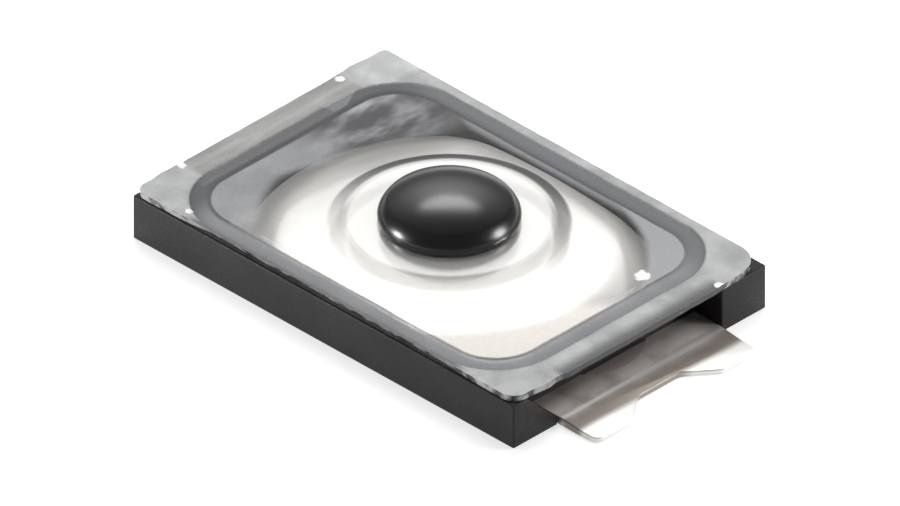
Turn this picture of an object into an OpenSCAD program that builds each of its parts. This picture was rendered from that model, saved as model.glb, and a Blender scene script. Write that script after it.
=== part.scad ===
// Ultra-thin surface mount tactile switch with a snap dome under a clear film.
// Millimetres. The origin is the centre of the footprint on the seating plane,
// +X runs along the length to the common terminal and +Z is the way the button faces.

/* [Housing] */
// Length of the moulded housing
body_l = 3.0; // [2.9:0.05:4.0]
// Width of the moulded housing
body_w = 2.0; // [1.9:0.05:3.0]
// Height of the moulded housing under the film
body_h = 0.29; // [0.27:0.01:0.4]
// Wall between the cavity and each long side
side_wall = 0.16; // [0.12:0.01:0.2]
// Wall between the cavity and each end recess
end_wall = 0.07; // [0.06:0.01:0.12]
// Depth of the end recesses, from the end faces of the corner blocks
recess_l = 0.21; // [0.1:0.01:0.24]
// Corner radius of the cavity
cavity_r = 0.30; // [0.1:0.01:0.4]
// Radius of the holes that the mould's support pins leave under the contacts
pin_hole_r = 0.07; // [0.05:0.01:0.1]

/* [Lead frame] */
// Thickness of the strip
strip_t = 0.05; // [0.04:0.01:0.07]
// Step up from the terminals to the contact faces
joggle_h = 0.05; // [0.03:0.01:0.07]
// Width of each terminal and of the fork
term_w = 1.28; // [1.1:0.02:1.4]
// How far the toes stand out past the housing
term_out = 0.30; // [0.2:0.01:0.5]
// Length of the flat toe
toe_l = 0.12; // [0.08:0.01:0.16]
// Length of the taper between strip and toe
taper_l = 0.14; // [0.05:0.01:0.2]
// How much thinner the toes are than the strip
toe_thin = 0.014; // [0.005:0.001:0.02]
// Depth of the gap between the toes
toe_depth = 0.15; // [0.1:0.01:0.2]
// Width of the gap between the toes at the waist
waist_gap = 0.33; // [0.2:0.01:0.4]
// Width of the gap between the flat tips of the toes
toe_gap = 0.76; // [0.6:0.02:0.8]
// Outer corner radius of the toes
toe_r = 0.05; // [0.02:0.01:0.07]
// Inner corner radius of the toes
toe_inner_r = 0.07; // [0.03:0.01:0.08]
// Radius of the resin lock through each terminal
lock_r = 0.356; // [0.25:0.002:0.4]
// How far the resin lock shows in front of the end wall
lock_out = 0.11; // [0.05:0.01:0.16]
// Radius of the centre pad
pad_r = 0.26; // [0.2:0.01:0.3]
// Width of the tongue that joins the centre pad to its terminal
tongue_w = 0.36; // [0.2:0.02:0.5]
// Gap between the two contacts in the plane of the strip
contact_gap = 0.10; // [0.05:0.01:0.14]
// Radius of the raised spot on the centre pad
spot_r = 0.12; // [0.08:0.01:0.16]

/* [Snap dome] */
// Thickness of the dome sheet
dome_t = 0.05; // [0.03:0.01:0.06]
// Gap between the dome and the cavity at the ends
dome_end_gap = 0.07; // [0.02:0.01:0.12]
// Gap between the trimmed sides of the dome and the cavity
dome_side_gap = 0.03; // [0.01:0.01:0.1]
// Width of the steeper skirt at the rim
skirt_w = 0.22; // [0.15:0.01:0.3]
// Gap between the dome and the flat of the film, at the foot of the plateau
dome_film_gap = 0.012; // [0.008:0.001:0.02]

/* [Film] */
// Thickness of the film
film_t = 0.04; // [0.025:0.005:0.06]
// Corner radius of the film
film_r = 0.12; // [0.05:0.01:0.2]
// How far the film stays inside the housing's outline
film_inset = 0.005; // [0.005:0.005:0.03]
// Width of the bonded band round the cavity
band_w = 0.105; // [0.06:0.005:0.13]
// Depth that the band is pressed in
band_d = 0.008; // [0.004:0.001:0.012]
// Radius of the raised plateau
plateau_r = 0.62; // [0.5:0.01:0.66]
// Width of the sloping step round the plateau
step_w = 0.08; // [0.05:0.01:0.12]
// Height of the plateau over the flat of the film
step_h = 0.035; // [0.02:0.001:0.045]

/* [Button] */
// Largest radius of the button
button_r = 0.405; // [0.3:0.005:0.45]
// Height of the button above the plateau
button_h = 0.235; // [0.2:0.005:0.3]
// Height of the bulging band under the cap
rim_h = 0.09; // [0.06:0.005:0.1]
// Radius of the band's bulge
bulge_r = 0.12; // [0.1:0.01:0.16]
// How much narrower the cap's edge is than the bulge
cap_in = 0.006; // [0.004:0.001:0.012]
// Radius of curvature of the cap
cap_r = 0.62; // [0.55:0.01:0.9]
// Travel of the button
travel = 0.13; // [0.08:0.01:0.14]

/* [Hidden] */

$fn = 96;
// Overrun of every cut past the face that it opens
over = 0.2;
// Clearance between the terminals and the sides of the end recesses
term_gap = 0.01;
// Gap between the film's plateau and the crown of the dome
crown_gap = 0.005;
// Gap between the dome and the raised spot at full travel
spot_gap = 0.002;

// Housing and cavity
wall_x = body_l / 2 - recess_l;
cavity_l = 2 * (wall_x - end_wall);
cavity_w = body_w - 2 * side_wall;
recess_w = term_w + 2 * term_gap;
floor_z = strip_t + joggle_h;

// Lead frame
tip_x = body_l / 2 + term_out;
toe_x = tip_x - toe_l;
taper_x = toe_x - taper_l;
// The resin lock starts behind the outer face of the end wall
lock_back_x = wall_x - 0.7 * end_wall;
lock_x = wall_x + lock_out - lock_r;
// The joggle of the common contact ends just inside the cavity's end
joggle_x = cavity_l / 2 - 0.03;
// On a slope of 45 degrees this shift keeps the strip's thickness
bend = strip_t * tan(22.5);
// Where the two contacts face each other at the end of the fork
fork_end_x = -(wall_x - 2.4 * end_wall);
bridge_x = fork_end_x - 0.6 * contact_gap;
slot_r = pad_r + contact_gap;
waist_x = tip_x - toe_depth;
// Tangent from the waist to the inner corner of a toe
toe_side = [toe_depth - toe_inner_r, (toe_gap - waist_gap) / 2];
toe_side_a = atan2(toe_side[1], toe_side[0]) - asin(toe_inner_r / norm(toe_side));
toe_side_l = sqrt(toe_side * toe_side - toe_inner_r * toe_inner_r);
// Support pins stand under the pads of the fork
pin_y = (slot_r + term_w / 2) / 2;

// Dome
dome_r = cavity_l / 2 - dome_end_gap;
dome_w = cavity_w - 2 * dome_side_gap;
crown_z = body_h + step_h - crown_gap;
knee_r = dome_r - skirt_w;
pin_x = knee_r - skirt_w;
step_r = plateau_r + step_w;
// The crown's sphere passes under the foot of the plateau with the named gap
crown_drop = crown_z - (body_h - dome_film_gap);
crown_r = (step_r * step_r + crown_drop * crown_drop) / (2 * crown_drop);
spot_z = crown_z - dome_t - travel - spot_gap;
// Rings that make up the crown's curve
crown_steps = 10;

// Film and button
plateau_z = body_h + film_t + step_h;
top_z = plateau_z + button_h;
// Centre of the bulge's circle: the band is widest at this share of its height
widest_share = 0.7;
bulge_x = button_r - bulge_r;
bulge_z = plateau_z + widest_share * rim_h;

// Rectangle with round corners, centred
module rounded(l, w, r) {
    square([l - 2 * r, w], center = true);
    square([l, w - 2 * r], center = true);
    for (x = [-1, 1]) {
        for (y = [-1, 1]) {
            translate([x * (l / 2 - r), y * (w / 2 - r)]) circle(r);
        }
    }
}

// Outline of one end recess between the corner blocks
module recess() {
    translate([wall_x, -recess_w / 2]) square([recess_l + over, recess_w]);
}

// Half-round lock that shows on the terminal in front of the end wall
module lock() {
    intersection() {
        translate([lock_x, 0]) circle(lock_r);
        translate([lock_back_x, -recess_w / 2]) square([tip_x, recess_w]);
    }
}

// Terminal outline: full width through the end wall, two toes with a gap at the tip
module terminal(back_x) {
    side_x = waist_x + toe_side_l * cos(toe_side_a);
    side_y = waist_gap / 2 + toe_side_l * sin(toe_side_a);
    difference() {
        union() {
            translate([back_x, -term_w / 2]) square([tip_x - toe_r - back_x, term_w]);
            translate([back_x, toe_r - term_w / 2]) square([tip_x - back_x, term_w - 2 * toe_r]);
            for (y = [-1, 1]) {
                translate([tip_x - toe_r, y * (term_w / 2 - toe_r)]) circle(toe_r);
            }
        }
        polygon([
            [waist_x, -waist_gap / 2],
            [side_x, -side_y],
            [tip_x, -toe_gap / 2],
            [tip_x + over, -toe_gap / 2],
            [tip_x + over, toe_gap / 2],
            [tip_x, toe_gap / 2],
            [side_x, side_y],
            [waist_x, waist_gap / 2]
        ]);
        lock();
    }
    for (y = [-1, 1]) {
        translate([tip_x - toe_inner_r, y * toe_gap / 2]) circle(toe_inner_r);
    }
}

// Side view of the formed strip from a point inside the cavity out to the toe
module strip_side(ramp_x, start_x) {
    polygon([
        [start_x, joggle_h],
        [ramp_x - joggle_h, joggle_h],
        [ramp_x, 0],
        [tip_x, 0],
        [tip_x, strip_t - toe_thin],
        [toe_x, strip_t - toe_thin],
        [taper_x, strip_t],
        [ramp_x + bend, strip_t],
        [ramp_x - joggle_h + bend, floor_z],
        [start_x, floor_z]
    ]);
}

// Strip as wide as the housing, formed to its side view
module formed_strip(ramp_x, start_x) {
    translate([0, body_w / 2, 0]) rotate([90, 0, 0]) linear_extrude(body_w) strip_side(ramp_x, start_x);
}

// Fork outline with the slot that leaves room for the centre contact
module fork() {
    difference() {
        union() {
            translate([fork_end_x, -term_w / 2]) square([wall_x - fork_end_x, term_w]);
            terminal(wall_x - end_wall / 2);
        }
        circle(slot_r);
        translate([fork_end_x - over, -slot_r]) square([-fork_end_x + over, 2 * slot_r]);
        lock();
    }
}

module common_contact_shape() {
    intersection() {
        formed_strip(joggle_x, fork_end_x);
        linear_extrude(body_h) fork();
    }
}

module centre_contact_shape() {
    intersection() {
        rotate([0, 0, 180]) formed_strip(pad_r + 2 * joggle_h, -pad_r);
        linear_extrude(body_h) {
            circle(pad_r);
            translate([-lock_back_x, -tongue_w / 2]) square([lock_back_x, tongue_w]);
            rotate([0, 0, 180]) terminal(-bridge_x);
        }
    }
}

// Slope that leans back from an end wall over its recess
module end_block_slope() {
    slope_h = body_h - strip_t;
    translate([wall_x, -recess_w / 2, strip_t]) rotate([90, 0, 90]) linear_extrude(recess_l + over) {
        polygon([[over, 0], [0, 0], [-slope_h - over, slope_h + over], [over, slope_h + over]]);
    }
}

module housing() {
    color([0.2, 0.19, 0.19])
    difference() {
        union() {
            difference() {
                translate([-body_l / 2, -body_w / 2, 0]) cube([body_l, body_w, body_h]);
                for (a = [0, 180]) {
                    rotate([0, 0, a]) {
                        translate([0, 0, -over]) linear_extrude(body_h + 2 * over) recess();
                        end_block_slope();
                    }
                }
            }
            for (a = [0, 180]) {
                rotate([0, 0, a]) linear_extrude(strip_t) lock();
            }
        }
        translate([0, 0, floor_z]) linear_extrude(body_h) rounded(cavity_l, cavity_w, cavity_r);
        common_contact_shape();
        centre_contact_shape();
        for (p = [[0, 0], [pin_x, pin_y], [pin_x, -pin_y], [-pin_x, pin_y], [-pin_x, -pin_y]]) {
            translate([p[0], p[1], -over]) cylinder(r = pin_hole_r, h = over + joggle_h);
        }
    }
}

module common_contact() {
    color([0.75, 0.73, 0.7]) common_contact_shape();
}

// The raised spot is rooted halfway down the strip
module centre_contact() {
    root = strip_t / 2;
    spot_h = spot_z - floor_z + root;
    color([0.75, 0.73, 0.7]) {
        centre_contact_shape();
        translate([0, 0, floor_z - root]) cylinder(r1 = spot_r + root, r2 = spot_r, h = spot_h);
    }
}

// Height of the crown's outside at a radius
function crown_at(r) = crown_z - crown_r + sqrt(crown_r * crown_r - r * r);

// Half section of the dome: a shallow crown out to the knee, then a steeper skirt to the rim
module dome_section() {
    outside = [for (i = [0 : crown_steps]) [knee_r * i / crown_steps, crown_at(knee_r * i / crown_steps)]];
    inside = [for (i = [crown_steps : -1 : 0]) outside[i] - [0, dome_t]];
    polygon(concat(outside, [[dome_r, floor_z + dome_t], [dome_r, floor_z]], inside));
}

module contact_dome() {
    color([0.93, 0.92, 0.89])
    intersection() {
        rotate_extrude() dome_section();
        translate([-dome_r, -dome_w / 2, 0]) cube([2 * dome_r, dome_w, crown_z]);
    }
}

module cover_film() {
    film_l = body_l - 2 * film_inset;
    film_w = body_w - 2 * film_inset;
    color([0.75, 0.77, 0.79, 0.5])
    difference() {
        union() {
            translate([0, 0, body_h]) linear_extrude(film_t) difference() {
                rounded(film_l, film_w, film_r);
                circle(step_r);
            }
            rotate_extrude() polygon([
                [0, body_h + step_h],
                [plateau_r, body_h + step_h],
                [step_r, body_h],
                [step_r, body_h + film_t],
                [plateau_r, plateau_z],
                [0, plateau_z]
            ]);
        }
        translate([0, 0, body_h + film_t - band_d]) linear_extrude(over) difference() {
            rounded(cavity_l + 2 * band_w, cavity_w + 2 * band_w, cavity_r + band_w);
            rounded(cavity_l, cavity_w, cavity_r);
        }
    }
}

module actuator() {
    color([0.12, 0.12, 0.13])
    rotate_extrude() {
        intersection() {
            translate([0, top_z - cap_r]) circle(cap_r, $fn = 180);
            translate([0, plateau_z + rim_h]) square([button_r - cap_in, button_h]);
        }
        intersection() {
            translate([bulge_x, bulge_z]) circle(bulge_r);
            translate([0, plateau_z]) square([button_r, rim_h]);
        }
        translate([0, plateau_z]) square([bulge_x, rim_h]);
    }
}

housing();
common_contact();
centre_contact();
contact_dome();
cover_film();
actuator();
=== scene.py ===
import math

import bmesh
import bpy
from mathutils import Matrix, Vector, noise


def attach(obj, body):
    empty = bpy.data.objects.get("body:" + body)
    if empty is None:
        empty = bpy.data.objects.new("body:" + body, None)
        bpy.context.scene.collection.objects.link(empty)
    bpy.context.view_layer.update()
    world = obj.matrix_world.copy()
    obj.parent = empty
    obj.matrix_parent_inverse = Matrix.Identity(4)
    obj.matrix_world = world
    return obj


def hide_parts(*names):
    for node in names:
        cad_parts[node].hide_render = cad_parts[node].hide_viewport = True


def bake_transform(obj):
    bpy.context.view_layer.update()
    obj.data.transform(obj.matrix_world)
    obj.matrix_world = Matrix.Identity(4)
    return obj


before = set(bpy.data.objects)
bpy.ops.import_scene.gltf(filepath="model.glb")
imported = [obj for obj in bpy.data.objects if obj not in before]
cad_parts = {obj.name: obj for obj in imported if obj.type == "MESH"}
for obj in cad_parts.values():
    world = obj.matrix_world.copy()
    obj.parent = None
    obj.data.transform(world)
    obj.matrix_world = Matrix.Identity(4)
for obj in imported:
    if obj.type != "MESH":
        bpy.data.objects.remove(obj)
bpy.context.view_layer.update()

MM = 0.001

# Sizes of the switch in millimetres, as the solids have them, but with film and dome a little thinner
BODY_L, BODY_W, BODY_H = 3.0, 2.0, 0.29
WALL_X = 1.29
CAVITY = (1.22, 0.84, 0.30)
FLOOR_Z = 0.10
STRIP_T, JOGGLE_H = 0.05, 0.05
TERM_W, RECESS_W = 1.28, 1.30
TIP_X, TOE_X, TAPER_X = 1.80, 1.68, 1.54
TOE_TOP = 0.036
LOCK_X, LOCK_R, LOCK_BACK = 1.044, 0.356, 1.241
FORK_END, BRIDGE_X = -1.122, -1.182
SLOT_R, PAD_R, TONGUE_W = 0.36, 0.26, 0.36
PINS = ((0, 0), (0.71, 0.5), (0.71, -0.5), (-0.71, 0.5), (-0.71, -0.5))
PIN_R = 0.07
FILM_TOP, FILM_T = 0.33, 0.038
FILM = (1.495, 0.99)
FILM_CORNERS = {(1, 1): 0.18, (-1, 1): 0.04, (-1, -1): 0.07, (1, -1): 0.10}
BAND_SHIFT = (0.006, -0.021)
BAND_D = 0.008
STEP_R, PLATEAU_R, PLATEAU_Z = 0.70, 0.62, 0.365
DOME_R, KNEE_R, DOME_Y, CROWN_Z, CROWN_R, RIM_Z = 1.15, 0.97, 0.81, 0.32, 5.854, 0.15
DOME_T = 0.045
BUTTON_R, TOP_Z, CAP_R = 0.405, 0.60, 0.62
NEAR = 1e-4


# ---------------------------------------------------------------- camera
CAMERA_AZIMUTH, CAMERA_ELEVATION = 44.84, 33.96
PHOTO_WIDTH, PIXELS_PER_MM = 900, 179.1
CAMERA_DISTANCE = 0.02


def direction_of(azimuth, elevation):
    """Unit vector towards an elevation and an azimuth counted from the camera's."""
    a, e = math.radians(CAMERA_AZIMUTH + azimuth), math.radians(elevation)
    return Vector((math.sin(a) * math.cos(e), -math.cos(a) * math.cos(e), math.sin(e)))


def make_camera():
    azimuth = math.radians(CAMERA_AZIMUTH)
    right = Vector((math.cos(azimuth), math.sin(azimuth), 0))
    back = direction_of(0, CAMERA_ELEVATION)
    up = back.cross(right)
    data = bpy.data.cameras.new("camera")
    data.type = "ORTHO"
    data.ortho_scale = PHOTO_WIDTH / PIXELS_PER_MM * MM
    data.clip_start, data.clip_end = 0.0005, 0.1
    camera = bpy.data.objects.new("camera", data)
    bpy.context.collection.objects.link(camera)
    aim = (right * 0.00335 + up * 0.1111) * MM
    turned = Matrix((right, up, back)).transposed().to_4x4()
    camera.matrix_world = Matrix.Translation(aim + back * CAMERA_DISTANCE) @ turned
    bpy.context.scene.camera = camera
    bpy.context.scene.view_settings.view_transform = "Standard"


make_camera()


# ---------------------------------------------------------------- shader nodes
class Nodes:
    """Short calls for the nodes of a tree."""

    def __init__(self, tree):
        self.tree = tree

    def new(self, kind):
        return self.tree.nodes.new("ShaderNode" + kind)

    def put(self, socket, value):
        """Links a node's output to the socket, or sets the socket's value."""
        if isinstance(value, bpy.types.NodeSocket):
            self.tree.links.new(value, socket)
        elif isinstance(value, (tuple, list)) and len(value) == 3 and socket.type == "RGBA":
            socket.default_value = (*value, 1)
        else:
            socket.default_value = value

    def math(self, operation, *values):
        node = self.new("Math")
        node.operation = operation
        for socket, value in zip(node.inputs, values):
            self.put(socket, value)
        return node.outputs[0]

    def add(self, a, b):
        return self.math("ADD", a, b)

    def less(self, a, b):
        return self.math("SUBTRACT", a, b)

    def times(self, a, b):
        return self.math("MULTIPLY", a, b)

    def most(self, a, b):
        return self.math("MAXIMUM", a, b)

    def size(self, a):
        return self.math("ABSOLUTE", a)

    def length(self, a, b):
        return self.math("SQRT", self.add(self.times(a, a), self.times(b, b)))

    def ramp(self, value, low, high, to_low=0.0, to_high=1.0):
        """Smooth step from to_low at low to to_high at high."""
        node = self.new("MapRange")
        node.interpolation_type = "SMOOTHSTEP"
        ends = {"Value": value, "From Min": low, "From Max": high, "To Min": to_low, "To Max": to_high}
        for name, end in ends.items():
            self.put(node.inputs[name], end)
        return node.outputs[0]

    def line(self, value, centre, half):
        """1 at the centre, falling smoothly to 0 at a distance of half on both sides."""
        return self.ramp(self.size(self.less(value, centre)), 0.0, half, 1.0, 0.0)

    def mix(self, factor, a, b):
        """Colour a where the factor is 0 and b where it is 1."""
        node = self.new("Mix")
        node.data_type = "RGBA"
        self.put(node.inputs["Factor"], factor)
        for name, value in (("A", a), ("B", b)):
            self.put([i for i in node.inputs if i.name == name and i.type == "RGBA"][0], value)
        return [o for o in node.outputs if o.type == "RGBA"][0]

    def mix_value(self, factor, a, b):
        return self.add(self.times(a, self.less(1.0, factor)), self.times(factor, b))

    def cloudy(self, field, low, high, dark, light):
        """Colour that goes from dark to light with a noise field."""
        return self.mix(self.ramp(field, low, high), dark, light)


class Shader(Nodes):
    """A material, with lengths in millimetres of the object."""

    def __init__(self, name):
        self.mat = bpy.data.materials.new(name)
        self.mat.use_nodes = True
        super().__init__(self.mat.node_tree)
        self.bsdf = self.tree.nodes["Principled BSDF"]
        scaled = self.new("VectorMath")
        scaled.operation = "SCALE"
        self.put(scaled.inputs["Scale"], 1 / MM)
        self.put(scaled.inputs[0], self.new("TexCoord").outputs["Object"])
        self.mm = scaled.outputs[0]
        split = self.new("SeparateXYZ")
        self.put(split.inputs[0], self.mm)
        self.x, self.y = split.outputs[0], split.outputs[1]

    def set(self, **values):
        for name, value in values.items():
            self.put(self.bsdf.inputs[name.replace("_", " ")], value)

    def noise(self, scale, detail=3.0, rough=0.5, stretch=(1, 1, 1)):
        place = self.new("Mapping")
        self.put(place.inputs["Scale"], stretch)
        self.put(place.inputs["Vector"], self.mm)
        node = self.new("TexNoise")
        self.put(node.inputs["Vector"], place.outputs[0])
        self.put(node.inputs["Scale"], scale)
        self.put(node.inputs["Detail"], detail)
        self.put(node.inputs["Roughness"], rough)
        return node.outputs[0]

    def bump(self, height, depth_mm):
        node = self.new("Bump")
        self.put(node.inputs["Strength"], 1.0)
        self.put(node.inputs["Distance"], depth_mm * MM)
        self.put(node.inputs["Height"], height)
        self.put(self.bsdf.inputs["Normal"], node.outputs[0])

    def camera_only(self):
        """1 for rays from the camera and for mirror and see-through rays."""
        path = self.new("LightPath")
        direct = self.most(path.outputs["Is Camera Ray"], path.outputs["Is Glossy Ray"])
        return self.most(direct, path.outputs["Is Transmission Ray"])

    def away(self, x, y):
        """Distance in the plan from a point."""
        return self.length(self.less(self.x, x), self.less(self.y, y))

    def spot(self, x, y, radius):
        """1 at a point of the plan, falling to 0 at the radius."""
        return self.ramp(self.away(x, y), 0.0, radius, 1.0, 0.0)

    def from_cavity(self):
        """Distance in the plan from the cavity's outline as the band follows it, less than 0 inside it."""
        hx, hy, r = CAVITY
        qx = self.less(self.size(self.less(self.x, BAND_SHIFT[0])), hx - r)
        qy = self.less(self.size(self.less(self.y, BAND_SHIFT[1])), hy - r)
        outer = self.length(self.most(qx, 0.0), self.most(qy, 0.0))
        inner = self.math("MINIMUM", self.most(qx, qy), 0.0)
        return self.less(self.add(outer, inner), r)

    def from_lock(self):
        """Distance in the plan from the centre of the nearer resin lock."""
        return self.length(self.less(self.size(self.x), LOCK_X), self.y)


def resin():
    """Black moulded resin, painted paler where it fills the locks in the terminals, as painted fill light in
    the shaded end recesses.
    """
    s = Shader("moulded_resin")
    grain = s.noise(55.0, 3.0, 0.6)
    black = s.cloudy(s.noise(3.0, 4.0), 0.3, 0.7, (0.013, 0.0116, 0.0112), (0.020, 0.0180, 0.0173))
    # Painted fill light: the resin of the locks is paler to stand in for light reaching the shaded end
    # recesses
    lock = s.cloudy(s.from_lock(), 0.30, 0.35, (0.240, 0.215, 0.215), (0.290, 0.240, 0.230))
    in_recess = s.ramp(s.size(s.x), WALL_X, WALL_X + 0.02)
    painted_fill_on_lock = s.times(in_recess, s.ramp(s.from_lock(), 0.36, 0.37, 1.0, 0.0))
    s.set(
        Base_Color=s.mix(painted_fill_on_lock, black, lock),
        Roughness=s.ramp(grain, 0.3, 0.7, 0.42, 0.58),
        Specular_IOR_Level=0.25,
    )
    s.bump(s.add(grain, s.times(s.noise(14.0, 2.0), 0.8)), 0.0012)
    return s.mat


def plating():
    """Silver plating: stained on the strip and paler towards its +Y side, brown on the taper, bright on the
    toes, with a painted highlight along the bend.
    """
    s = Shader("plated_strip")
    far = s.size(s.x)
    drawn = s.noise(9.0, 4.0, 0.6, (3.0, 0.7, 1.0))
    colour = s.cloudy(s.noise(4.5, 3.0), 0.42, 0.62, (0.42, 0.39, 0.365), (0.29, 0.26, 0.235))
    # Paler towards the +Y side of the strip
    colour = s.mix(s.ramp(s.y, 0.05, 0.45, 0.0, 0.75), colour, (0.52, 0.485, 0.46))
    colour = s.mix(s.ramp(far, TAPER_X - 0.01, 1.60), colour, (0.30, 0.26, 0.225))
    colour = s.mix(s.ramp(far, TOE_X - 0.04, TOE_X + 0.02), colour, (0.89, 0.875, 0.845))
    # Painted highlight: a pale line along the convex bend where the taper starts
    painted_bend_highlight = s.times(s.line(far, TAPER_X - 0.015, 0.03), 0.6)
    colour = s.mix(painted_bend_highlight, colour, (0.80, 0.78, 0.75))
    s.set(Base_Color=colour, Metallic=0.5, Roughness=s.ramp(drawn, 0.3, 0.7, 0.36, 0.46))
    s.bump(drawn, 0.0012)
    return s.mat


def spring_metal():
    """Bright brushed metal of the dome."""
    s = Shader("dome_metal")
    brushed = s.noise(30.0, 3.0, 0.6, (0.25, 1.0, 1.0))
    s.set(
        Base_Color=s.cloudy(s.noise(2.2, 3.0), 0.3, 0.7, (0.90, 0.885, 0.85), (0.95, 0.935, 0.90)),
        Metallic=0.45,
        Roughness=s.ramp(brushed, 0.3, 0.7, 0.17, 0.21),
    )
    s.bump(brushed, 0.0001)
    return s.mat


def button_resin():
    """Deep black resin with a satin shine."""
    s = Shader("button_resin")
    grain = s.noise(40.0, 3.0, 0.6)
    s.set(
        Base_Color=s.cloudy(s.noise(4.0, 3.0), 0.3, 0.7, (0.004, 0.0038, 0.0040), (0.007, 0.0066, 0.0068)),
        Roughness=s.ramp(grain, 0.3, 0.7, 0.24, 0.27),
        Specular_IOR_Level=0.72,
    )
    s.bump(grain, 0.00005)
    return s.mat


def flange_colour(s, cloud):
    """Loose flange: cloudy on the corner blocks, streaked and darkened with painted shade over the -X recess,
    painted dark with the shade of the recess under it over the +X recess, and with painted shade along the
    front edge.
    """
    colour = s.cloudy(cloud, 0.35, 0.65, (0.36, 0.365, 0.365), (0.53, 0.54, 0.54))
    over_recess = s.ramp(s.size(s.y), 0.60, 0.66, 1.0, 0.0)
    along = s.noise(5.0, 3.0, 0.6, (3.5, 0.35, 1.0))
    # Over the -X recess: streaks in the film, darkened with painted shade of the recess under it
    streaked_recess_shade = s.cloudy(along, 0.35, 0.65, (0.275, 0.272, 0.266), (0.375, 0.372, 0.364))
    colour = s.mix(s.times(s.ramp(s.x, -1.26, -1.34), over_recess), colour, streaked_recess_shade)
    # Painted shade: the film over the +X recess is dark where the recess under it is in shade
    colour = s.mix(s.times(s.ramp(s.x, 1.390, 1.505), over_recess), colour, (0.085, 0.087, 0.092))
    far_corner = s.times(s.ramp(s.y, 0.66, 0.74), s.ramp(s.x, -1.18, -1.26))
    colour = s.mix(far_corner, colour, s.cloudy(cloud, 0.35, 0.65, (0.50, 0.51, 0.51), (0.70, 0.71, 0.71)))
    # Painted shade along the front edge, where the film meets the housing's side
    front_edge_shade = s.times(s.ramp(s.y, -0.945, -0.975), s.ramp(s.size(s.x), 1.0, 1.15, 1.0, 0.0))
    return s.mix(front_edge_shade, colour, (0.14, 0.14, 0.145))


def band_colour(s, cloud):
    """Bonded band, darker at the rear and at the -X end."""
    colour = s.cloudy(cloud, 0.3, 0.7, (0.225, 0.230, 0.244), (0.270, 0.275, 0.287))
    colour = s.mix(s.ramp(s.y, 0.55, 0.80), colour, (0.150, 0.155, 0.166))
    return s.mix(s.ramp(s.x, -0.95, -1.20), colour, (0.082, 0.086, 0.094))


def painted_skirt_reflections(s, cloud, r):
    """Colour and amount of the painted reflections of the dome's skirt outside its crown, laid on the film as
    a haze.

    They are painted dark streaks at -X +Y, light at -X -Y, a pale painted reflection in front and grey at the
    rear and the +X +Y corner.
    """
    rearward = s.ramp(s.y, 0.0, 0.3)
    reach = s.less(r, s.ramp(s.y, 0.0, -0.4, 0.0, 0.15))
    outside = s.ramp(reach, 0.85, s.mix_value(rearward, 0.97, 0.905))
    left = s.times(outside, s.ramp(s.x, -0.55, -0.85))
    streaks = s.noise(3.0, 3.0, 0.55, (1.5, 0.6, 1.0))
    # Painted dark reflection of the skirt at -X +Y, streaked
    painted_dark_streaks = s.times(s.ramp(streaks, 0.30, 0.58), s.ramp(s.y, -0.15, 0.25))
    light = s.cloudy(cloud, 0.3, 0.7, (0.38, 0.385, 0.405), (0.52, 0.525, 0.54))
    colour = s.mix(left, (0.43, 0.435, 0.445), s.mix(painted_dark_streaks, light, (0.055, 0.055, 0.06)))
    corner = s.times(s.ramp(s.away(0.4, -0.1), 0.86, 0.93), s.ramp(s.add(s.x, s.y), 1.05, 1.32))
    rear = s.ramp(s.y, 0.72, 0.80)
    toward = s.times(s.less(s.x, s.y), 0.707)
    front = s.times(s.ramp(toward, 0.66, 0.88), s.ramp(r, 0.84, 1.02))
    amount = s.most(s.times(left, s.mix_value(rearward, 0.72, 0.92)), s.times(corner, 0.86))
    amount = s.most(s.most(amount, s.times(rear, 0.58)), s.times(front, 0.85))
    # Painted reflection: the skirt in front is pale and warm where it mirrors bright light
    return s.mix(front, colour, (0.96, 0.91, 0.855)), amount


# Bright painted glints in the film: x, y and radius. The first is in the clear part, the others are at torn
# places of the cut edge
BRIGHT_SPOTS = (
    (1.13, 0.39, 0.090),
    (-1.47, -0.64, 0.055),
    (-1.46, 0.60, 0.055),
    (-1.12, -0.935, 0.045),
    (1.50, 0.63, 0.055),
)


def bright_bits(s, fine):
    """1 at the bright spots, with fine noise on their outlines."""
    bright = s.spot(*BRIGHT_SPOTS[0])
    for place in BRIGHT_SPOTS[1:]:
        bright = s.most(bright, s.spot(*place))
    return s.ramp(s.add(bright, s.times(fine, 1.3)), 1.05, 1.30)


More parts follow.
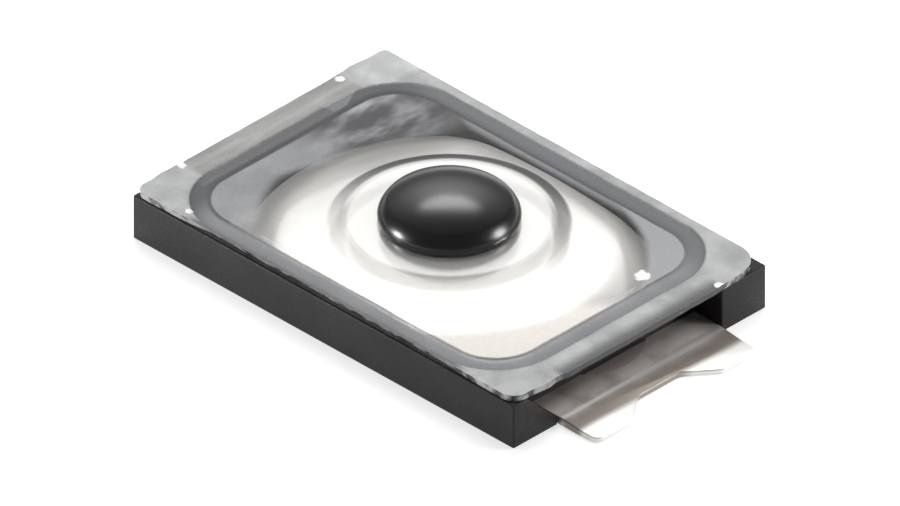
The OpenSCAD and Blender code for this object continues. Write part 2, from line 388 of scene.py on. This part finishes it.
def film_sheet():
    """Clear over the dome, pressed grey in the welded band and cloudy on the loose flange outside it."""
    s = Shader("film_sheet")
    wander = s.times(s.less(s.noise(2.5, 3.0), 0.5), 0.02)
    d = s.add(s.from_cavity(), wander)
    r = s.length(s.x, s.y)
    cloud = s.noise(3.2, 4.0, 0.55)
    fine = s.noise(22.0, 3.0, 0.6)
    in_band = s.times(s.ramp(d, -0.018, -0.002), s.ramp(d, 0.100, 0.118, 1.0, 0.0))
    colour = s.mix(s.ramp(d, 0.05, 0.11), (0.80, 0.80, 0.79), flange_colour(s, cloud))
    colour = s.mix(in_band, colour, band_colour(s, cloud))
    inside = s.ramp(d, -0.02, -0.005, 1.0, 0.0)
    # Painted reflections of the dome's skirt, laid over it as a haze inside the cavity
    skirt_reflection_colour, skirt_reflection_amount = painted_skirt_reflections(s, cloud, r)
    colour = s.mix(s.times(s.ramp(skirt_reflection_amount, 0.0, 0.2), inside), colour, skirt_reflection_colour)
    # Inner edge of the band: painted shade at the rear and along -X, a painted pale highlight round the other
    # corners
    behind = s.less(s.y, s.x)
    dark = s.times(s.line(d, -0.004, 0.020), s.ramp(behind, -0.4, 0.4, 0.20, 0.95))
    colour = s.mix(dark, colour, (0.085, 0.09, 0.10))
    painted_pale_edge = s.times(s.line(d, -0.034, 0.022), s.ramp(behind, 0.9, 0.1, 0.05, 0.35))
    # The fold round the plateau is painted dark from the -X +Y side round to +X, as painted shade, and faint
    # in front
    fold_zone = s.times(s.ramp(r, 0.580, 0.612), s.ramp(r, 0.668, 0.705, 1.0, 0.0))
    fold_shade_side = s.ramp(s.times(s.less(s.y, s.times(s.x, 0.6)), 1.5), -1.0, 1.0)
    colour = s.mix(fold_zone, colour, s.mix(fold_shade_side, (0.66, 0.63, 0.62), (0.060, 0.060, 0.065)))
    fold_shade_alpha = s.times(fold_zone, s.ramp(fold_shade_side, 0.0, 1.0, 0.22, 0.95))
    # Painted glints, opaque and near white
    painted_glints = bright_bits(s, fine)
    colour = s.mix(painted_glints, colour, (0.95, 0.95, 0.95))
    alpha = s.times(s.ramp(d, 0.05, 0.12), s.ramp(cloud, 0.3, 0.7, 0.95, 0.99))
    clear = s.ramp(fine, 0.3, 0.7, 0.04, 0.06)
    for part in (s.times(in_band, 0.92), s.times(skirt_reflection_amount, inside), dark, painted_pale_edge, fold_shade_alpha, painted_glints, clear):
        alpha = s.most(alpha, part)
    # The thin sheet scatters light on to what is below it, so its shadow is faint
    shadow = s.new("LightPath").outputs["Is Shadow Ray"]
    alpha = s.times(alpha, s.less(1.0, s.times(shadow, 0.75)))
    # Pressed flat on the crown, the sheet and the metal under it mirror the button together
    plateau = s.ramp(r, 0.56, 0.60, 1.0, 0.0)
    smoothness = s.mix_value(fold_zone, s.ramp(fine, 0.3, 0.7, 0.22, 0.30), 0.32)
    s.set(
        Base_Color=s.mix(plateau, colour, (0.96, 0.955, 0.94)),
        Metallic=s.times(plateau, 0.5),
        Roughness=s.mix_value(plateau, smoothness, 0.15),
        Alpha=s.most(alpha, s.times(plateau, 0.50)),
        IOR=1.5,
        Specular_IOR_Level=0.38,
    )
    s.bump(cloud, 0.0015)
    return s.mat


def film_back():
    """Underside of the film, nearly clear."""
    s = Shader("film_underside")
    cloud = s.noise(4.0, 3.0)
    s.set(
        Base_Color=s.mix(cloud, (0.60, 0.61, 0.62), (0.75, 0.75, 0.75)),
        Roughness=s.ramp(cloud, 0.3, 0.7, 0.2, 0.3),
        Alpha=s.ramp(cloud, 0.3, 0.7, 0.02, 0.05),
    )
    return s.mat


def film_cut():
    """Cut edge of the film: dark, with painted white glints in places beside the end recesses where it is
    torn.
    """
    s = Shader("film_edge")
    cloud = s.noise(12.0, 3.0)
    painted_torn_glints = s.times(s.ramp(cloud, 0.40, 0.60), s.ramp(s.size(s.y), 0.60, 0.68))
    s.set(
        Base_Color=s.mix(painted_torn_glints, (0.05, 0.05, 0.052), (0.45, 0.45, 0.45)),
        Roughness=0.35,
        Alpha=s.ramp(cloud, 0.3, 0.7, 0.85, 0.97),
    )
    return s.mat


RESIN, PLATING, DOME_METAL = resin(), plating(), spring_metal()
BUTTON, FILM_FACE, FILM_BACK, FILM_CUT = button_resin(), film_sheet(), film_back(), film_cut()


# ---------------------------------------------------------------- mesh making
def add_object(name, mesh, *materials):
    obj = bpy.data.objects.new(name, mesh)
    bpy.context.collection.objects.link(obj)
    for mat in materials:
        mesh.materials.append(mat)
    return obj


def from_lists(name, verts, faces, *materials):
    mesh = bpy.data.meshes.new(name)
    mesh.from_pydata(verts, [], faces)
    mesh.validate()
    mesh.update()
    return add_object(name, mesh, *materials)


def prism(name, outline, low, high, cuts=()):
    """Solid from a plan outline, with the plan split at each x of cuts."""
    bm = bmesh.new()
    bm.faces.new([bm.verts.new((x, y, low)) for x, y in outline])
    for x in cuts:
        geom = bm.verts[:] + bm.edges[:] + bm.faces[:]
        bmesh.ops.bisect_plane(bm, geom=geom, dist=1e-7, plane_co=(x, 0, 0), plane_no=(1, 0, 0))
    top = bmesh.ops.extrude_face_region(bm, geom=bm.faces[:])["geom"]
    for v in top:
        if isinstance(v, bmesh.types.BMVert):
            v.co.z = high
    bmesh.ops.recalc_face_normals(bm, faces=bm.faces)
    mesh = bpy.data.meshes.new(name)
    bm.to_mesh(mesh)
    bm.free()
    return add_object(name, mesh)


def arc(cx, cy, r, start, end, steps):
    turn = [math.radians(start + (end - start) * i / steps) for i in range(steps + 1)]
    return [(cx + r * math.cos(a), cy + r * math.sin(a)) for a in turn]


def box_outline(x0, y0, x1, y1):
    return [(x0, y0), (x1, y0), (x1, y1), (x0, y1)]


def round_outline(hx, hy, r, steps=16):
    points = []
    for sx, sy, start in ((1, 1, 0), (-1, 1, 90), (-1, -1, 180), (1, -1, 270)):
        points += arc(sx * (hx - r), sy * (hy - r), r, start, start + 90, steps)
    return points


def half_turn(points):
    return [(-x, -y) for x, y in points]


def turn_half(obj):
    obj.data.transform(Matrix.Rotation(math.pi, 4, "Z"))


def boolean(obj, operation, *cutters):
    for cutter in cutters:
        mod = obj.modifiers.new("cut", "BOOLEAN")
        mod.operation = operation
        mod.solver = "EXACT"
        mod.object = cutter
    apply_modifiers(obj)
    for cutter in cutters:
        data = cutter.data
        bpy.data.objects.remove(cutter)
        bpy.data.meshes.remove(data)


def apply_modifiers(obj):
    graph = bpy.context.evaluated_depsgraph_get()
    mesh = bpy.data.meshes.new_from_object(obj.evaluated_get(graph))
    old = obj.data
    obj.modifiers.clear()
    obj.data = mesh
    mesh.name = obj.name
    bpy.data.meshes.remove(old)


BEVEL_STEPS, LEAST_FOLD = 3, math.radians(20)


def bevel_edges(obj, width, wanted):
    """Rounds the folded edges for which wanted(a, b) holds, where a and b are the ends."""
    bm = bmesh.new()
    bm.from_mesh(obj.data)
    bmesh.ops.remove_doubles(bm, verts=bm.verts, dist=1e-5)
    bmesh.ops.dissolve_limit(bm, angle_limit=math.radians(0.5), verts=bm.verts, edges=bm.edges)
    edges = [
        e for e in bm.edges
        if len(e.link_faces) == 2 and e.calc_face_angle(0) > LEAST_FOLD and wanted(*(v.co for v in e.verts))
    ]
    bmesh.ops.bevel(
        bm, geom=edges, offset=width, offset_type="OFFSET", segments=BEVEL_STEPS, profile=0.5, affect="EDGES",
        clamp_overlap=True,
    )
    bm.to_mesh(obj.data)
    bm.free()


def finish_mesh(obj, angle=32.0, weighted=True):
    """Turns millimetres into metres and sets the shading, with open edges sharp."""
    obj.data.transform(Matrix.Scale(MM, 4))
    obj.data.shade_smooth()
    obj.data.set_sharp_from_angle(angle=math.radians(angle))
    bm = bmesh.new()
    bm.from_mesh(obj.data)
    for edge in bm.edges:
        if edge.is_boundary:
            edge.smooth = False
    bm.to_mesh(obj.data)
    bm.free()
    if weighted:
        mod = obj.modifiers.new("shading", "WEIGHTED_NORMAL")
        mod.keep_sharp = True


# ---------------------------------------------------------------- lead frame
RAMP_COMMON, RAMP_CENTRE = 1.19, PAD_R + 2 * JOGGLE_H
BEND = STRIP_T * math.tan(math.radians(22.5))
STRIP_EDGE_R = 0.008
# Where cutters through the strip start
UNDER = -0.1


def toe_outline(back_x):
    """Terminal outline from (back_x, -w/2) round the two toes to (back_x, w/2)."""
    half, outer_r, inner_r, inner_y = TERM_W / 2, 0.05, 0.07, 0.38
    waist_x, waist_y = 1.65, 0.165
    lower = [(back_x, -half)]
    lower += arc(TIP_X - outer_r, outer_r - half, outer_r, -90, 0, 6)
    lower += arc(TIP_X - inner_r, -inner_y, inner_r, 0, 38.2, 6)
    for dx, dy in ((0.014, -0.018), (0.003, 0.002), (0.0, 0.022)):
        lower.append((waist_x + dx, -waist_y + dy))
    return lower + [(x, -y) for x, y in reversed(lower)]


def common_outline():
    """The fork round the centre pad, with its terminal at +X."""
    half = TERM_W / 2
    points = [(FORK_END, -half)] + toe_outline(WALL_X)[1:-1] + [(FORK_END, half), (FORK_END, SLOT_R)]
    return points + arc(0, 0, SLOT_R, 90, -90, 32) + [(FORK_END, -SLOT_R)]


def centre_outline():
    """The pad and its tongue as they would lie with the terminal at +X, before the half-turn."""
    half, tongue = TERM_W / 2, TONGUE_W / 2
    side = math.degrees(math.asin(tongue / PAD_R))
    points = [(LOCK_BACK - 0.02, -tongue), (-BRIDGE_X, -tongue)] + toe_outline(-BRIDGE_X)
    return points[1:] + [(-BRIDGE_X, tongue)] + arc(0, 0, PAD_R, side, 360 - side, 48)


def strip_level(x, ramp_x, top):
    """Height of the formed strip's top or underside at x."""
    shift = BEND if top else 0.0
    low, high = (STRIP_T, FLOOR_Z) if top else (0.0, JOGGLE_H)
    stops = [(-9, high), (ramp_x - JOGGLE_H + shift, high), (ramp_x + shift, low)]
    stops += [(TAPER_X, low), (TOE_X, TOE_TOP), (9, TOE_TOP)] if top else [(9, low)]
    for (xa, za), (xb, zb) in zip(stops, stops[1:]):
        if x <= xb:
            return za + (zb - za) * (x - xa) / (xb - xa)
    return stops[-1][1]


def formed_strip(name, outline, ramp_x):
    """Strip stepped up by JOGGLE_H on a 45 degree ramp whose foot is at ramp_x."""
    cuts = [ramp_x - JOGGLE_H, ramp_x - JOGGLE_H + BEND, ramp_x, ramp_x + BEND, TAPER_X, TOE_X]
    obj = prism(name, outline, 0.0, 1.0, cuts)
    for v in obj.data.vertices:
        v.co.z = strip_level(v.co.x, ramp_x, v.co.z > 0.5)
    return obj


def lock_outline():
    """The resin lock: a circle cut off by a straight side."""
    side = math.degrees(math.acos((LOCK_BACK - LOCK_X) / LOCK_R))
    return arc(LOCK_X, 0, LOCK_R, -side, side, 24)


def contact(name, outline, ramp_x, turned):
    obj = formed_strip(name, outline, ramp_x)
    boolean(obj, "DIFFERENCE", prism("lock_hole", lock_outline(), UNDER, 0.2))
    lock = Vector((LOCK_X, 0))

    def outside(a, b):
        clear_of_lock = min((a.xy - lock).length, (b.xy - lock).length) > LOCK_R + 0.01
        return min(a.x, b.x) > WALL_X + 0.005 and clear_of_lock

    bevel_edges(obj, STRIP_EDGE_R, outside)
    if turned:
        turn_half(obj)
    return obj


# Raised spot on the centre pad
SPOT_R, SPOT_FROM, SPOT_TOP = 0.12, 0.09, 0.138

common = contact("common_terminal", common_outline(), RAMP_COMMON, False)
centre = contact("centre_terminal", centre_outline(), RAMP_CENTRE, True)


# ---------------------------------------------------------------- housing
# Cutters end PAST the body at its sides and at ABOVE over it
PAST, ABOVE = 0.2, 0.6
BODY_EDGE_R = 0.012


def end_recess(turned):
    outline = box_outline(WALL_X, -RECESS_W / 2, BODY_L / 2 + PAST, RECESS_W / 2)
    return prism("recess", half_turn(outline) if turned else outline, -PAST, ABOVE)


def block_slope(turned):
    """Wedge cut from the corner block beside the terminal, at 45 degrees above the strip."""
    y, low, rise, inward = -RECESS_W / 2, STRIP_T, 0.34, 0.1
    side = [(y + inward, low), (y, low), (y - rise, low + rise), (y + inward, low + rise)]
    x0, x1 = WALL_X, BODY_L / 2 + PAST
    verts = [(x, a, b) for x in (x0, x1) for a, b in side]
    faces = [(0, 1, 2, 3), (7, 6, 5, 4), (0, 4, 5, 1), (1, 5, 6, 2), (2, 6, 7, 3), (3, 7, 4, 0)]
    obj = from_lists("slope", verts, faces)
    bm = bmesh.new()
    bm.from_mesh(obj.data)
    bmesh.ops.recalc_face_normals(bm, faces=bm.faces)
    bm.to_mesh(obj.data)
    bm.free()
    if turned:
        turn_half(obj)
    return obj


def make_housing():
    outline = box_outline(-BODY_L / 2, -BODY_W / 2, BODY_L / 2, BODY_W / 2)
    body = prism("housing_body", outline, 0.0, BODY_H)
    boolean(body, "DIFFERENCE", end_recess(False), end_recess(True), block_slope(False), block_slope(True))
    locks = [prism("lock", outline, 0.0, STRIP_T) for outline in (lock_outline(), half_turn(lock_outline()))]
    boolean(body, "UNION", *locks)
    cavity = prism("cavity", round_outline(*CAVITY), FLOOR_Z, ABOVE)
    pins = [prism("pin", arc(x, y, PIN_R, 0, 345, 23), UNDER, JOGGLE_H) for x, y in PINS]
    boolean(body, "DIFFERENCE", cavity, *pins)
    voids = strip_void(common_outline(), RAMP_COMMON, False), strip_void(centre_outline(), RAMP_CENTRE, True)
    boolean(body, "DIFFERENCE", *voids)

    def outer(a, b):
        at_end = all(abs(abs(v.x) - BODY_L / 2) < NEAR for v in (a, b))
        at_side = all(abs(abs(v.y) - BODY_W / 2) < NEAR for v in (a, b))
        on_top = all(abs(v.z - BODY_H) < NEAR for v in (a, b))
        return at_end or at_side or on_top

    bevel_edges(body, BODY_EDGE_R, outer)
    body.data.materials.append(RESIN)
    return body


def strip_void(outline, ramp_x, turned):
    """What a contact takes out of the housing, open below."""
    obj = formed_strip("strip_void", outline, ramp_x)
    for v in obj.data.vertices:
        if v.co.z < NEAR:
            v.co.z = UNDER
    boolean(obj, "DIFFERENCE", prism("lock_hole", lock_outline(), -PAST, PAST))
    if turned:
        turn_half(obj)
    return obj


housing = make_housing()
boolean(centre, "UNION", prism("spot", arc(0, 0, SPOT_R, 0, 350, 35), SPOT_FROM, SPOT_TOP))
for obj in (common, centre):
    obj.data.materials.clear()
    obj.data.materials.append(PLATING)
    finish_mesh(obj)
finish_mesh(housing)


# ---------------------------------------------------------------- sheets made of rings
SPOKE_STEP, SPOKES = 1.5, 240


def ring_angles():
    """Angles of the film's points, closer together at its corners."""
    angles = {round(i * SPOKE_STEP, 3) for i in range(SPOKES)}
    corner = math.degrees(math.atan2(FILM[1] - 0.04, FILM[0] - 0.04))
    for base in (corner, 180 - corner, 180 + corner, 360 - corner):
        angles |= {round(base + 0.35 * i, 3) for i in range(-12, 13)}
    return [math.radians(a) for a in sorted(angles)]


def rect_reach(angle, hx, hy, r, shift=BAND_SHIFT):
    """How far a rectangle with round corners reaches from the origin in a direction."""
    dx, dy = math.cos(angle), math.sin(angle)
    low, high = 0.0, 3.0
    for _ in range(30):
        mid = (low + high) / 2
        qx, qy = abs(mid * dx - shift[0]) - (hx - r), abs(mid * dy - shift[1]) - (hy - r)
        d = math.hypot(max(qx, 0), max(qy, 0)) + min(max(qx, qy), 0) - r
        low, high = (mid, high) if d < 0 else (low, mid)
    return low


def ring_sheet(name, angles, rings, centre_z, *materials):
    """Sheet from rings, each a list of (reach, z) for the angles, round a centre point."""
    verts = [(0, 0, centre_z)]
    for ring in rings:
        verts += [(reach * math.cos(a), reach * math.sin(a), z) for a, (reach, z) in zip(angles, ring)]
    n, faces = len(angles), []
    for i in range(n):
        faces.append((0, 1 + i, 1 + (i + 1) % n))
    for k in range(len(rings) - 1):
        start, after = 1 + k * n, 1 + (k + 1) * n
        for i in range(n):
            j = (i + 1) % n
            faces.append((start + i, after + i, after + j, start + j))
    return from_lists(name, verts, faces, *materials)


def thicken(sheet, thickness):
    """Gives a sheet its thickness, on its underside."""
    shell = sheet.modifiers.new("thickness", "SOLIDIFY")
    shell.thickness = thickness * MM
    shell.offset = -1
    return shell


def smooth(t):
    t = min(max(t, 0.0), 1.0)
    return t * t * (3 - 2 * t)


FILM_ANGLES = ring_angles()
# Fold round the plateau, from its inner radius over its width down to its foot
FOLD_R, FOLD_W, FOOT_Z = 0.595, 0.13, 0.336
# The sheet is slack up to BAND_INNER inside the cavity's outline and loose from BAND_OUTER outside it
BAND_INNER, BAND_OUTER = 0.03, 0.114
# Cross-section of the band: distance from the cavity's outline and share of the pressed depth
BAND = ((-0.014, 0), (-0.006, 0.35), (0.002, 1), (0.05, 1), (0.095, 1), (0.104, 0.6), (BAND_OUTER, 0))
WAVE_H, EDGE_DROP = 0.003, 0.0015
# How much the cut edge goes out over the +X recess, and its unevenness where torn and elsewhere
RECESS_EDGE, TORN, UNEVEN = 0.022, 0.016, 0.003


def waved(x, y, z, amount):
    """Small waves in the loose parts of the film."""
    return z + amount * noise.noise(Vector((x * 1.7, y * 1.7, 3.1)))


def film_edge(angle, reach):
    """The cut edge: fuller and torn beside the end recesses, and further out over the one at +X."""
    x, y = reach * math.cos(angle), reach * math.sin(angle)
    across = abs(y)
    beside = abs(across - 0.66) < 0.07 and abs(x) > 1.35
    if abs(x) > 1.40 and across > 0.62:
        reach += 0.012 * smooth((across - 0.62) / 0.03) * smooth((0.86 - across) / 0.1)
    reach += RECESS_EDGE * smooth((x - 1.40) / 0.05) * smooth((0.65 - across) / 0.04)
    return reach + noise.noise(Vector((x * 16, y * 16, 7.7))) * (TORN if beside else UNEVEN)


def cavity_reach(angle, offset):
    """How far the cavity's outline, moved out by an offset, reaches in a direction."""
    return rect_reach(angle, *(c + offset for c in CAVITY))


def slack_ring(t):
    """Film between the fold and the band, from 0 at the fold to 1 at the band."""
    fold_end, ring = FOLD_R + FOLD_W, []
    for a in FILM_ANGLES:
        inner = cavity_reach(a, -BAND_INNER)
        ring.append((fold_end + (inner - fold_end) * t, FOOT_Z + (FILM_TOP + 0.0004 - FOOT_Z) * smooth(t)))
    return ring


def flange_ring(t, drop):
    """Loose film outside the band, from 0 at the band to 1 at the cut edge."""
    ring = []
    for a in FILM_ANGLES:
        inner = cavity_reach(a, BAND_OUTER)
        corner = FILM_CORNERS[(1 if math.cos(a) > 0 else -1, 1 if math.sin(a) > 0 else -1)]
        outer = film_edge(a, rect_reach(a, *FILM, corner, (0, 0)))
        reach = inner + (outer - inner) * t
        wide = smooth((outer - inner - 0.03) / 0.12)
        x, y = reach * math.cos(a), reach * math.sin(a)
        ring.append((reach, waved(x, y, FILM_TOP, WAVE_H * wide * math.sin(math.pi * min(t, 0.8))) - drop))
    return ring


def make_film():
    count = len(FILM_ANGLES)
    rings = [[(0.04 * i, PLATEAU_Z)] * count for i in range(1, 15)]
    for i in range(13):
        r = FOLD_R + FOLD_W * i / 12
        t = smooth((STEP_R + 0.012 - r) / (STEP_R - PLATEAU_R + 0.024))
        rings.append([(r, FOOT_Z + (PLATEAU_Z - FOOT_Z) * t)] * count)
    rings += [slack_ring(i / 8) for i in range(1, 9)]
    for offset, depth in BAND:
        rings.append([(cavity_reach(a, offset), FILM_TOP - depth * BAND_D) for a in FILM_ANGLES])
    rings += [flange_ring(i / 7, EDGE_DROP if i == 7 else 0) for i in range(1, 8)]
    film = ring_sheet("film", FILM_ANGLES, rings, PLATEAU_Z, FILM_FACE, FILM_BACK, FILM_CUT)
    finish_mesh(film, 60, False)
    shell = thicken(film, FILM_T)
    shell.material_offset = 1
    shell.material_offset_rim = 2
    return film


KNEE_SOFT = 0.008


def crown_level(r):
    """Top of the dome at a radius, with the knee between crown and skirt rounded."""
    crown = CROWN_Z - CROWN_R + math.sqrt(CROWN_R ** 2 - r * r)
    knee_z = CROWN_Z - CROWN_R + math.sqrt(CROWN_R ** 2 - KNEE_R ** 2)
    skirt = knee_z + (RIM_Z - knee_z) * (r - KNEE_R) / (DOME_R - KNEE_R)
    return -KNEE_SOFT * math.log(math.exp(-crown / KNEE_SOFT) + math.exp(-skirt / KNEE_SOFT))


def make_dome():
    angles = [math.radians(i * SPOKE_STEP) for i in range(SPOKES)]
    reaches = [0.06 * i for i in range(1, 14)] + [0.80 + 0.025 * i for i in range(15)]
    rings = [[(min(r, DOME_R), crown_level(r))] * len(angles) for r in reaches]
    dome = ring_sheet("dome", angles, rings, CROWN_Z, DOME_METAL)
    bm = bmesh.new()
    bm.from_mesh(dome.data)
    for side in (1, -1):
        geom = bm.verts[:] + bm.edges[:] + bm.faces[:]
        bmesh.ops.bisect_plane(
            bm, geom=geom, dist=1e-6, plane_co=(0, side * DOME_Y, 0), plane_no=(0, side, 0), clear_outer=True,
        )
    bm.to_mesh(dome.data)
    bm.free()
    finish_mesh(dome, 60, False)
    thicken(dome, DOME_T)
    return dome


def button_profile():
    """Half section of the button: a bulging band, a soft corner and the cap."""
    foot_r, sink = 0.380, 0.001
    bulge_r, bulge_z, corner_z = 0.12, PLATEAU_Z + 0.045, PLATEAU_Z + 0.036
    peak, cap_from = (0.4025, PLATEAU_Z + 0.0760), 0.352
    points = [(foot_r, PLATEAU_Z - sink)]
    for i in range(9):
        z = PLATEAU_Z + (corner_z - PLATEAU_Z) * i / 8
        points.append((BUTTON_R - bulge_r + math.sqrt(bulge_r ** 2 - (z - bulge_z) ** 2), z))
    angle = math.asin(cap_from / CAP_R)
    start, last = points[-1], (cap_from, TOP_Z - CAP_R + CAP_R * math.cos(angle))
    for i in range(1, 10):
        t = i / 10
        weights = (1 - t) ** 2, 2 * t * (1 - t), t * t
        points.append(tuple(sum(w * c for w, c in zip(weights, cs)) for cs in zip(start, peak, last)))
    for i in range(17):
        a = angle * (1 - i / 16)
        points.append((CAP_R * math.sin(a), TOP_Z - CAP_R + CAP_R * math.cos(a)))
    return points


def make_button():
    profile = button_profile()
    angles = [math.radians(i * 3) for i in range(120)]
    verts, faces = [], []
    for r, z in profile[:-1]:
        verts += [(r * math.cos(a), r * math.sin(a), z) for a in angles]
    n = len(angles)
    verts += [(0, 0, profile[-1][1]), (0, 0, profile[0][1])]
    for k in range(len(profile) - 2):
        for i in range(n):
            j = (i + 1) % n
            faces.append((k * n + i, k * n + j, (k + 1) * n + j, (k + 1) * n + i))
    last = (len(profile) - 2) * n
    for i in range(n):
        j = (i + 1) % n
        faces.append((last + i, last + j, len(verts) - 2))
        faces.append((j, i, len(verts) - 1))
    button = from_lists("button_cap", verts, faces, BUTTON)
    finish_mesh(button, 50, False)
    smoother = button.modifiers.new("smooth", "SUBSURF")
    smoother.levels = smoother.render_levels = 1
    return button


film, dome, button = make_film(), make_dome(), make_button()

# ---------------------------------------------------------------- what each piece rides on
for piece, slot, node in (
    (housing, "black_resin", "housing"),
    (common, "plated_strip", "common_contact"),
    (centre, "plated_strip", "centre_contact"),
):
    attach(piece, "base")
    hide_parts(node)
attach(button, "button")
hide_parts("actuator")
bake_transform(film)
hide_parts("cover_film")
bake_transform(dome)
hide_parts("contact_dome")


# ---------------------------------------------------------------- floor, light and background
FLOOR_HALF, FLOOR_DROP, FLOOR_GLOW = 30.0, 0.0005, 0.62
# Soft lights of the background: azimuth from the camera's, elevation, strength and sharpness
LOBES = ((180, 50, 1.00, 12.0), (201, 40, 1.10, 18.0), (160, 40, 0.92, 18.0))
AMBIENT = 0.15
LAMP_DISTANCE = 14
# Lamps: name, azimuth from the camera's, elevation, half width, half height and radiance
LAMPS = (
    ("key_light", 180, 64, 6.0, 2.2, 6.2),
    ("left_light", -84, 9, 1.6, 1.9, 42.0),
    ("right_light", 84, 16, 2.4, 3.0, 15.0),
)


def make_floor():
    outline = box_outline(-FLOOR_HALF, -FLOOR_HALF, FLOOR_HALF, FLOOR_HALF)
    floor = from_lists("floor", [(x, y, -FLOOR_DROP) for x, y in outline], [(0, 1, 2, 3)])
    floor.data.transform(Matrix.Scale(MM, 4))
    s = Shader("floor")
    s.set(
        Base_Color=s.mix(s.noise(0.8, 2.0), (0.80, 0.80, 0.80), (0.82, 0.82, 0.82)),
        Roughness=0.9,
        Emission_Color=(1.0, 1.0, 1.0),
        Emission_Strength=s.times(s.camera_only(), FLOOR_GLOW),
    )
    floor.data.materials.append(s.mat)


def make_lamp(name, azimuth, elevation, half_x, half_y, radiance):
    direction = direction_of(azimuth, elevation)
    data = bpy.data.lights.new(name, "AREA")
    data.shape = "ELLIPSE"
    data.size, data.size_y = 2 * half_x * MM, 2 * half_y * MM
    data.energy = radiance * math.pi * math.pi * half_x * half_y * MM * MM
    lamp = bpy.data.objects.new(name, data)
    bpy.context.collection.objects.link(lamp)
    lamp.location = direction * LAMP_DISTANCE * MM
    lamp.rotation_euler = direction.to_track_quat("Z", "Y").to_euler()


def make_world():
    """Background whose strength is an even part and one soft lobe for each of LOBES."""
    world = bpy.data.worlds.new("studio")
    bpy.context.scene.world = world
    world.use_nodes = True
    nodes = Nodes(world.node_tree)
    toward = nodes.new("TexCoord").outputs["Generated"]
    total = AMBIENT
    for azimuth, elevation, strength, sharpness in LOBES:
        dot = nodes.new("VectorMath")
        dot.operation = "DOT_PRODUCT"
        nodes.put(dot.inputs[0], toward)
        nodes.put(dot.inputs[1], direction_of(azimuth, elevation))
        falloff = nodes.math("MULTIPLY_ADD", dot.outputs["Value"], sharpness, -sharpness)
        total = nodes.math("MULTIPLY_ADD", nodes.math("EXPONENT", falloff), strength, total)
    back = nodes.tree.nodes["Background"]
    nodes.put(back.inputs["Strength"], total)
    nodes.put(back.inputs["Color"], (1, 1, 1))


make_floor()
make_world()
for lamp in LAMPS:
    make_lamp(*lamp)
